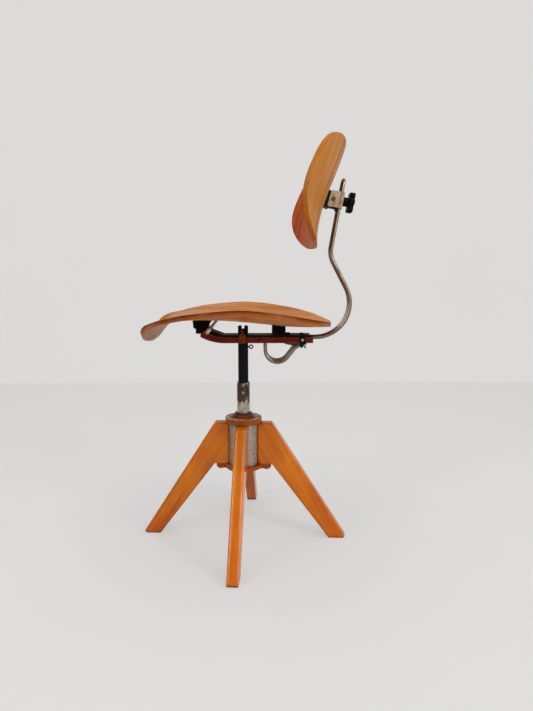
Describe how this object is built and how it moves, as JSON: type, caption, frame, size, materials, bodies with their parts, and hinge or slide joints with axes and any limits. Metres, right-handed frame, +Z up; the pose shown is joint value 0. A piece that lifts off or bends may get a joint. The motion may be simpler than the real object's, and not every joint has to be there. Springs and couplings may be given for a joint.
{
  "type": "swivel work chair",
  "caption": "Swivel work chair with four splayed wooden plank legs, a sliding steel post, a moulded plywood seat and a tilting plywood backrest on twin sprung steel rods.",
  "frame": {"origin": "on the floor, on the axis of the post, under the middle of the base", "axes": "+Z up along the post; -Y towards the front of the seat, so +Y is where the backrest stands; +X towards the sitter's left side"},
  "size_m": [0.454, 0.4636, 0.8475],
  "materials": {
    "seat_wood": "satin lacquered beech plywood",
    "leg_wood": "glossy amber varnish",
    "hub_steel": "speckled worn steel",
    "flange_lacquer": "amber lacquer worn to grey on top",
    "collar_brown": "dark brown enamel",
    "sleeve_steel": "worn nickel plate with rust stains",
    "black_steel": "semi-gloss black enamel",
    "oxblood_steel": "oxblood enamel with worn edges",
    "rod_nickel": "dull nickel plate",
    "bracket_nickel": "yellowed nickel plate",
    "screw_steel": "plain steel",
    "brass_screw": "worn brass",
    "pad_rubber": "matt black rubber",
    "bush_bronze": "oiled bronze",
    "knob_plastic": "black moulded plastic"
  },
  "bodies": {
    "base": {"hub_tube": "hub_steel", "top_flange": "flange_lacquer", "bottom_plate": "flange_lacquer", "upper_bush": "bush_bronze", "lower_bush": "bush_bronze", "bearing_collar": "collar_brown", "ear_screws": "screw_steel", "hub_screws": "screw_steel", "leg_1": "leg_wood", "leg_2": "leg_wood", "leg_3": "leg_wood", "leg_4": "leg_wood"},
    "spindle": {"sleeve": "sleeve_steel", "lock_ring": "collar_brown", "snap_ring": "screw_steel", "grub_screws": "screw_steel"},
    "seat_frame": {"post": "black_steel", "post_socket": "black_steel", "rail": "oxblood_steel", "cover": "black_steel", "wedge_straps": "oxblood_steel", "socket_wedge": "oxblood_steel", "cover_screw": "black_steel", "cover_spacer": "screw_steel", "rod_guides": "black_steel", "front_pad": "pad_rubber", "rear_pad": "pad_rubber", "pad_plate": "black_steel", "tie_studs": "screw_steel", "stud_nuts": "screw_steel", "seat_shell": "seat_wood", "seat_screws": "screw_steel"},
    "eye": {"eye_screw": "screw_steel"},
    "rod_carriage": {"spring_rods": "rod_nickel", "clamp_shoe": "black_steel", "clamp_straps": "black_steel", "clamp_bolt": "black_steel", "lock_screws": "brass_screw"},
    "wing": {"wing_nut": "black_steel"},
    "bracket": {"back_bracket": "bracket_nickel", "pivot_pin": "bracket_nickel", "rod_saddle": "black_steel"},
    "backrest": {"backrest_panel": "seat_wood", "hinge_block": "black_steel", "back_screws": "screw_steel"},
    "knob": {"star_knob": "knob_plastic", "knob_stud": "screw_steel"}
  },
  "joints": [
    {"name": "swivel", "type": "hinge", "parent": "base", "child": "spindle", "pos_m": [0, 0, 0.28], "axis": [0, 0, 1], "continuous": true},
    {"name": "seat_height", "type": "slide", "parent": "spindle", "child": "seat_frame", "axis": [0, 0, 1], "range_m": [-0.065, 0.06]},
    {"name": "eye_turn", "type": "hinge", "parent": "seat_frame", "child": "eye", "pos_m": [0, 0.011, 0.429], "axis": [0, 1, 0], "continuous": true},
    {"name": "back_depth", "type": "slide", "parent": "seat_frame", "child": "rod_carriage", "axis": [0, 1, 0], "range_m": [-0.008, 0.008]},
    {"name": "wing_turn", "type": "hinge", "parent": "rod_carriage", "child": "wing", "pos_m": [0, 0.127, 0.43], "axis": [0, 0, 1], "continuous": true},
    {"name": "back_height", "type": "slide", "parent": "rod_carriage", "child": "bracket", "axis": [0, 0.1719, 0.9851], "range_m": [-0.045, 0.02]},
    {"name": "back_tilt", "type": "hinge", "parent": "bracket", "child": "backrest", "pos_m": [0, 0.18911, 0.73968], "axis": [1, 0, 0], "range_deg": [-4, 10]},
    {"name": "knob_turn", "type": "hinge", "parent": "bracket", "child": "knob", "pos_m": [0, 0.20448, 0.737], "axis": [0, 0.9851, -0.1719], "continuous": true}
  ]
}
